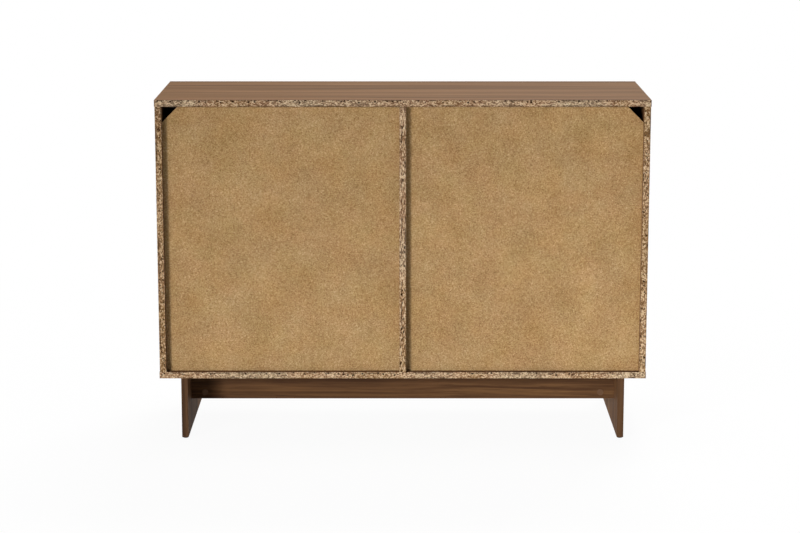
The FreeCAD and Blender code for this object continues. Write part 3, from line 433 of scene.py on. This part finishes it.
def wander(s, spacing, draw):
    """Smooth random values from 0 to 1 along the edge: random knots at a spacing, joined by straight lines."""
    knots = draw.random(int(s.max() / spacing) + 3)
    return np.interp(s, np.arange(len(knots)) * spacing, knots)


sample_s, sample_t = np.meshgrid(np.linspace(0, 60, 200), np.linspace(0, 16, 50), indexing="ij")
sample_tone = chips(sample_s, sample_t, length=9.0, width=3.2, draw=np.random.default_rng(1))[0]
print("sample tones:", round(sample_tone.min(), 2), "to", round(sample_tone.max(), 2))

# %% [markdown]
# The colour of the sawn face follows the same chips, so the mesh carries three numbers per point, and the material
# reads them back: how pale the chip is, how deep in a hole or tear the point lies, which darkens it with painted
# shade, and which kind of wood the batch of chips nearby came from. Painting by attribute keeps colour and shape
# together from any side.

# %% Sawn particle board
FLAKES = [(0.0, "#503220"), (0.25, "#876648"), (0.55, "#b09271"), (0.8, "#caaf8c"), (1.0, "#e1cba9")]
BATCHES = [(0.15, "#a58350"), (0.5, "#b68f70"), (0.85, "#b3a68c")]
BATCH_SHARE = 0.25
SAWDUST_MM, FUZZ_MM = 0.9, 0.1


def sawn_board():
    """A ramp over the chip's tone, tinted by its batch, and darkened with painted shade in holes and tears."""
    material, tree = start("sawn_particle_board")
    tone, pit, batch = [put(tree, "Attribute", attribute_name=name).outputs["Fac"]
                        for name in ("chip_tone", "chip_pit_shade", "chip_batch")]
    flake = put(tree, "ValToRGB", {"Fac": tone}, stops=FLAKES)
    kind = put(tree, "ValToRGB", {"Fac": batch}, stops=BATCHES)
    tinted = put(tree, "Mix", {
        MIX_FACTOR: BATCH_SHARE, MIX_A: flake.outputs[0], MIX_B: kind.outputs[0]}, data_type="RGBA")
    # Holes and tears get painted shade: this dark brown stands in for the shadow inside them.
    pit_shaded = put(tree, "Mix", {
        MIX_FACTOR: pit, MIX_A: tinted.outputs[MIX_RESULT], MIX_B: linear("#2a170c")}, data_type="RGBA")
    dust = put(tree, "TexNoise", {
        "Vector": put(tree, "TexCoord").outputs["Object"], "Scale": PER_MM / SAWDUST_MM, "Detail": 2.0}).outputs[0]
    fuzz = put(tree, "Bump", {"Height": dust, "Strength": 0.25, "Distance": FUZZ_MM * MM})
    shader = put(tree, "BsdfPrincipled", {
        "Base Color": pit_shaded.outputs[MIX_RESULT], "Roughness": 0.85, "Normal": fuzz.outputs[0],
        "IOR": 1.45, "Specular IOR Level": 0.1})
    put(tree, "OutputMaterial", {"Surface": shader.outputs[0]})
    return material


sawn_face = sawn_board()
print("edge material:", sawn_face.name)

# %% [markdown]
# Now the relief itself. Each board's box gives the rectangle of its rear edge. The profile has a point every 0.6 mm
# across the thickness and two more buried in the board, so that the piece is closed, and it is repeated every
# millimetre along the edge. Nothing stands more than half a millimetre proud, and the rims stay nearly flush with the
# foil. Level boards, uprights and the divider have chips of different sizes. Each board was cut from another sheet, so
# how pale it is and where it tore is its own. An even relief on all five would be simpler, but would look cast.

# %% Relief along each raw edge
# Lengths in mm; shades, shares and steepness are plain numbers
STEP_ALONG, STEP_ACROSS = 1.0, 0.6
INSET, BURIED = 0.1, 0.6
DUST_CHIP, DUST_LAYER, DUST_FADE, FOIL_SIDE_DARKENING = (2.1, 1.5), 2.4, 1.2, 0.12
COARSE_SHARE, DUST_SHIFT = 0.6, 0.3
SAWN_HEIGHT, COARSE_HEIGHT, DUST_LOSS, FINE_HEIGHT, CHIP_BEVEL = 0.12, 0.28, 0.2, 0.08, 0.3
LOWEST, HIGHEST = 0.02, 0.5
HOLE_RISE, HOLE_SLOPE, PIT_DEPTH = 2.2, 2.0, 0.85
TEAR_RUN, TEAR_ENDS, TEAR_BEND, TEAR_SWAY = 16, 6, 25, 1.2
TEAR_RISE, TEAR_HALF_WIDTH, TEAR_SHADE = 1.8, 0.7, 0.85
RIM, RIM_SHARE = 0.7, 0.15
BATCH_RUN = 70


def sawn_relief(s, t, length, width, edge, draw):
    """Height in mm and the three chip values at s along and t across an edge. Coarse chips make the core and fine
    ones the dusty outer layers. Holes are round dips with steep sides. Tears are lines along the board that come
    and go, one under each foil, and in the divider one more inside. Both dip only a little in the relief, and their
    dark colour is painted shade."""
    coarse, coarse_border = chips(s, t, *edge["chip"], draw)
    fine, fine_border = chips(s, t, *DUST_CHIP, draw)
    depth = np.minimum(t, width - t)
    dusty = np.clip((DUST_LAYER - depth) / DUST_FADE, 0.0, 1.0)
    tone = (COARSE_SHARE - DUST_SHIFT * dusty) * coarse + (1 - COARSE_SHARE + DUST_SHIFT * dusty) * fine
    # The tone is drawn darker in the fine layers beside both foils.
    tone = np.clip(edge["paleness"] + edge["contrast"] * (tone - 0.5) - FOIL_SIDE_DARKENING * dusty, 0.0, 1.0)
    height = SAWN_HEIGHT + FINE_HEIGHT * fine * np.clip(fine_border / CHIP_BEVEL, 0.0, 1.0)
    height += (COARSE_HEIGHT - DUST_LOSS * dusty) * coarse * np.clip(coarse_border / CHIP_BEVEL, 0.0, 1.0)
    count = int(length / edge["hole_gap"])
    low, high = edge["hole_belt"]
    hole_s, hole_t = draw.random(count) * length, width * (low + (high - low) * draw.random(count))
    hole_r = edge["hole_radii"][0] + np.ptp(edge["hole_radii"]) * draw.random(count) ** 2
    away = np.hypot((s[..., None] - hole_s) / edge["hole_stretch"], t[..., None] - hole_t) / hole_r
    hole = np.clip(HOLE_RISE - HOLE_SLOPE * away.min(axis=-1), 0.0, 1.0)
    torn = np.zeros(s.shape)
    for place, share in edge["tears"].items():
        dashes = np.clip((wander(s, TEAR_RUN, draw) - 1 + share) * TEAR_ENDS, 0.0, 1.0)
        line = width * place + TEAR_SWAY * (wander(s, TEAR_BEND, draw) - 0.5)
        torn = np.maximum(torn, dashes * np.clip(TEAR_RISE - abs(t - line) / TEAR_HALF_WIDTH, 0.0, 1.0))
    # pit sets how far the relief dips, and also the painted shade of holes and tears
    pit = np.maximum(hole, TEAR_SHADE * torn)
    rim = np.clip(np.minimum(np.minimum(depth, s), length - s) / RIM, 0.0, 1.0)
    height = np.clip(height * (1 - PIT_DEPTH * pit), LOWEST, HIGHEST) * (RIM_SHARE + (1 - RIM_SHARE) * rim)
    low, high = edge["batch"]
    batch = low + (high - low) * wander(s, BATCH_RUN, draw)
    return height, {"chip_tone": tone, "chip_pit_shade": pit, "chip_batch": batch}


def carried(name, points, material):
    """A closed profile carried along a path: points holds one row per station, in mm. Quads join each row to the
    next and the row's end to its start, and one many-sided face closes each end of the path."""
    rows, columns = points.shape[:2]
    i, j = np.meshgrid(np.arange(rows - 1), np.arange(columns), indexing="ij")
    right = (j + 1) % columns
    quads = np.stack([i * columns + j, i * columns + right, (i + 1) * columns + right, (i + 1) * columns + j], -1)
    first_cap = np.arange(columns)[::-1].tolist()
    last_cap = ((rows - 1) * columns + np.arange(columns)).tolist()
    mesh = bpy.data.meshes.new(name)
    mesh.from_pydata((points.reshape(-1, 3) * MM).tolist(), [],
                     quads.reshape(-1, 4).tolist() + [first_cap, last_cap])
    mesh.materials.append(material)
    piece = bpy.data.objects.new(name, mesh)
    bpy.context.collection.objects.link(piece)
    return piece


def raw_edge(name, node, edge, seed):
    """A profile across the board, carried along its longer side. Level boards run along X with the profile going
    up; upright ones run along Z with the profile going towards -X, so that faces point outwards on both."""
    x_way, y_way, z_way = np.eye(3)
    low, high = (np.array(corner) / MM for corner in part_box(node))
    level = high[0] - low[0] > high[2] - low[2]
    origin = np.array([low[0] if level else high[0], high[1], low[2]])
    path, across = (x_way, z_way) if level else (z_way, -x_way)
    length, width = abs((high - low) @ path), abs((high - low) @ across)
    stations = np.linspace(INSET, length - INSET, int(length / STEP_ALONG))
    profile = np.linspace(INSET, width - INSET, int(width / STEP_ACROSS) + 1)
    s, t = np.meshgrid(stations, profile, indexing="ij")
    height, values = sawn_relief(s, t, length, width, edge, np.random.default_rng(seed))
    back_t = np.broadcast_to([width - INSET, INSET], (len(stations), 2))
    t = np.concatenate([t, back_t], axis=1)
    s = np.broadcast_to(stations[:, None], t.shape)
    out = np.concatenate([height, np.full(back_t.shape, -BURIED)], axis=1)
    points = origin + s[..., None] * path + t[..., None] * across + out[..., None] * y_way
    piece = carried(name, points, sawn_face)
    for label, value in values.items():
        whole_row = np.concatenate([value, np.zeros(back_t.shape)], axis=1)
        piece.data.attributes.new(label, "FLOAT", "POINT").data.foreach_set("value", whole_row.ravel())
    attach(piece, "carcass")
    return piece


# Chips, gaps and radii in mm; belts and tears as places across the thickness, each tear with the share that is torn
LEVEL = {"chip": (3.6, 2.3), "hole_gap": 11, "hole_radii": (1.0, 2.7), "hole_stretch": 1.3,
         "contrast": 2.3, "batch": (0.2, 1.0)}
UPRIGHT = {"chip": (4.0, 2.7), "hole_gap": 6, "hole_radii": (0.9, 1.9), "hole_stretch": 1.4,
           "hole_belt": (0.1, 0.9), "contrast": 2.3, "batch": (0.0, 0.35)}
DIVIDER = {"chip": (7.0, 2.0), "hole_gap": 10, "hole_radii": (0.8, 2.0), "hole_stretch": 2.4,
           "hole_belt": (0.15, 0.85), "contrast": 2.7, "batch": (0.1, 0.9)}
RAW_EDGES = {
    "top_raw_rear_edge": ("top_panel", LEVEL, {
        "paleness": 0.4, "hole_belt": (0.6, 0.95), "tears": {0.1: 0.55, 0.9: 0.5}}),
    "bottom_raw_rear_edge": ("bottom_panel", LEVEL, {
        "paleness": 0.49, "hole_belt": (0.45, 0.95), "tears": {0.1: 0.25, 0.85: 0.65}}),
    "left_side_raw_rear_edge": ("left_side_panel", UPRIGHT, {
        "paleness": 0.37, "tears": {0.1: 0.3, 0.9: 0.3}}),
    "right_side_raw_rear_edge": ("right_side_panel", UPRIGHT, {
        "paleness": 0.3, "tears": {0.2: 0.6, 0.9: 0.2}}),
    "divider_raw_rear_edge": ("centre_divider", DIVIDER, {
        "paleness": 0.49, "tears": {0.1: 0.25, 0.32: 0.35, 0.9: 0.4}}),
}
FIRST_SEED = 7
for seed, (name, (node, board, own)) in enumerate(RAW_EDGES.items(), start=FIRST_SEED):
    piece = raw_edge(name, node, {**board, **own}, seed)
    print(name, "faces:", len(piece.data.polygons))

# %% [markdown]
# ## Guide springs
#
# In the top edge of each door, two nylon pins run in the upper track. A coil spring pushes each one up, and pressing
# the pin down frees the door. The CAD spring is a rigid solid, so a pressed pin would pass through it. Each is
# swapped for a wound coil of wire that moves with its door, though it keeps its length.

# %% Coils of wire in place of the CAD springs
SPRING_TURNS, WIRE_MM = 8, 0.8
STEPS_PER_TURN, WIRE_SIDES = 28, 12


def coil(low, high):
    """The path turns about the middle of the box while it climbs at an even rate. At each station the wire's circle
    lies across the path: it is spanned by the direction out from the axis and the one square to that and the path."""
    middle, reach = (low + high) / 2, (high[0] - low[0] - WIRE_MM) / 2
    turn = np.linspace(0.0, 2 * np.pi * SPRING_TURNS, SPRING_TURNS * STEPS_PER_TURN + 1)
    climb = (high[2] - low[2] - WIRE_MM) / turn[-1]
    slope = math.atan2(climb, reach)
    out = np.stack([np.cos(turn), np.sin(turn), 0 * turn], axis=1)
    up = np.stack([np.sin(turn) * math.sin(slope), -np.cos(turn) * math.sin(slope),
                   0 * turn + math.cos(slope)], axis=1)
    axis_points = np.stack([0 * turn + middle[0], 0 * turn + middle[1],
                            low[2] + WIRE_MM / 2 + climb * turn], axis=1)
    path = reach * out + axis_points
    around = -np.arange(WIRE_SIDES) * 2 * np.pi / WIRE_SIDES
    ring = np.cos(around)[None, :, None] * out[:, None] + np.sin(around)[None, :, None] * up[:, None]
    return path[:, None] + WIRE_MM / 2 * ring


for door in DOORS:
    for end in ("outer", "inner"):
        node, joint = f"{door}{end}_guide_spring", f"{door}{end}_guide_pin_press"
        low, high = (np.array(corner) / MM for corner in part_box(node))
        spring = carried(f"{door}{end}_wound_spring", coil(low, high), spring_wire)
        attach(spring, door.rstrip("_"))
        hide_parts(node)
        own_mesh(spring)

# %% [markdown]
# ## Camera
#
# The picture was taken from behind, a little above the top, with the lens shifted down so that uprights stay
# parallel. A shift that large would push the object out of every other view, so this camera tilts down instead and
# stands a little further off, which keeps the uprights nearly parallel.

# %% A camera behind the cabinet
CAMERA_PLACE = (0.0067, 5.657, 1.512)
CAMERA_TILT = math.radians(11.17)
LENS_MM, SENSOR_MM, FAR_END = 102.4, 36.0, 100.0
lens = bpy.data.cameras.new("rear_camera")
lens.lens = LENS_MM
lens.sensor_width = SENSOR_MM
lens.clip_end = FAR_END
camera = bpy.data.objects.new("rear_camera", lens)
camera.location = CAMERA_PLACE
camera.rotation_euler = (math.pi / 2 - CAMERA_TILT, 0.0, math.pi)
bpy.context.collection.objects.link(camera)
bpy.context.scene.camera = camera
print("camera tilt in degrees:", round(math.degrees(CAMERA_TILT), 2))

# %% [markdown]
# ## Floor
#
# The studio is a white sweep. A curved sheet could be modelled, but a flat disc is enough: it looks white to the camera
# and in reflections, and near the object it is dimmed a little by the shadow.

# %% White floor
FLOOR_RADIUS, FLOOR_SIDES = 30.0, 96
# How white the floor is near the object and far from it, each up to or from a distance in metres
WHITE_NEAR, WHITE_FAR = (0.95, 0.9), (1.0, 2.4)


def seen_directly(tree):
    """One where the ray comes from the camera, a glossy surface or through a clear one, and zero elsewhere."""
    ray = put(tree, "LightPath").outputs
    mirrored = put(tree, "Math", {0: ray["Is Camera Ray"], 1: ray["Is Glossy Ray"]}, operation="MAXIMUM").outputs[0]
    return put(tree, "Math", {0: mirrored, 1: ray["Is Transmission Ray"]}, operation="MAXIMUM").outputs[0]


angle = np.arange(FLOOR_SIDES) * 2 * np.pi / FLOOR_SIDES
rim_points = np.stack([np.cos(angle), np.sin(angle), 0 * angle], axis=1) * FLOOR_RADIUS
floor_mesh = bpy.data.meshes.new("studio_floor")
floor_mesh.from_pydata(rim_points.tolist(), [], [list(range(FLOOR_SIDES))])
floor_paint, floor_tree = start("white_studio_floor")
spot = put(floor_tree, "VectorMath", {0: put(floor_tree, "TexCoord").outputs["Object"]}, operation="LENGTH")
whiteness = put(floor_tree, "MapRange", {
    "Value": spot.outputs["Value"], "From Min": WHITE_NEAR[1], "From Max": WHITE_FAR[1],
    "To Min": WHITE_NEAR[0], "To Max": WHITE_FAR[0]})
share = put(floor_tree, "Math", {0: seen_directly(floor_tree), 1: whiteness.outputs[0]}, operation="MULTIPLY")
matt = put(floor_tree, "BsdfDiffuse", {"Color": linear("#dddddd")})
glow = put(floor_tree, "Emission", {"Color": linear("#ffffff"), "Strength": 1.0})
blend = put(floor_tree, "MixShader", {0: share.outputs[0], 1: matt.outputs[0], 2: glow.outputs[0]})
put(floor_tree, "OutputMaterial", {"Surface": blend.outputs[0]})
floor_mesh.materials.append(floor_paint)
floor = bpy.data.objects.new("studio_floor", floor_mesh)
bpy.context.collection.objects.link(floor)
print("floor radius in metres:", FLOOR_RADIUS)

# %% [markdown]
# ## Light
#
# Large soft lamps keep the colours about as they are written. The key stands at the cabinet's right rear and draws
# the narrow shadows beside the side panel and the divider. A grid narrows its beam, and it aims low and past the far
# end, so the back grows a little lighter downwards and away from the lamp. A high lamp lights the front. One overhead
# stands forward, so that it reaches the top but not the recess at the rear, and the even sky is faint. A bright sky
# alone would be simpler, but then nothing would cast a shadow.

# %% Lamps and sky
SKY_LIGHT = 0.03
KEY_BEAM = math.radians(33)
MIDDLE = (0.0, 0.0, 0.45)
# Place, aim, width and height in metres, and power in watts
LAMPS = {
    "rear_key_lamp": ((5.6, 10.9, 2.3), (-3.4, 0.0, -1.8), 7.0, 2.6, 152),
    "front_lamp": ((-2.2, -7.2, 8.2), MIDDLE, 5.0, 3.0, 1240),
    "overhead_lamp": ((0.0, -0.65, 5.5), MIDDLE, 3.0, 1.6, 140),
}


def softbox(name, place, aim, width, height, power):
    """A rectangular soft lamp of that width and height in metres, at a place, turned to face the aim."""
    data = bpy.data.lights.new(name, "AREA")
    data.shape = "RECTANGLE"
    data.size = width
    data.size_y = height
    data.energy = power
    made = bpy.data.objects.new(name, data)
    made.location = place
    away = np.array(place) - np.array(aim)
    level = math.hypot(away[0], away[1])
    made.rotation_euler = (math.atan2(level, away[2]), 0.0, math.atan2(away[1], away[0]) + math.pi / 2)
    bpy.context.collection.objects.link(made)
    return made


lamps = {name: softbox(name, *settings) for name, settings in LAMPS.items()}
lamps["rear_key_lamp"].data.spread = KEY_BEAM
sky = bpy.data.worlds.new("studio_sky")
sky.use_nodes = True
sky.node_tree.nodes.clear()
strength = put(sky.node_tree, "MapRange", {
    "Value": seen_directly(sky.node_tree), "To Min": SKY_LIGHT, "To Max": 1.0})
even = put(sky.node_tree, "Background", {"Color": linear("#ffffff"), "Strength": strength.outputs[0]})
put(sky.node_tree, "OutputWorld", {"Surface": even.outputs[0]})
bpy.context.scene.world = sky
bpy.context.scene.view_settings.view_transform = "Standard"
print("lamps:", list(lamps), "sky:", SKY_LIGHT)
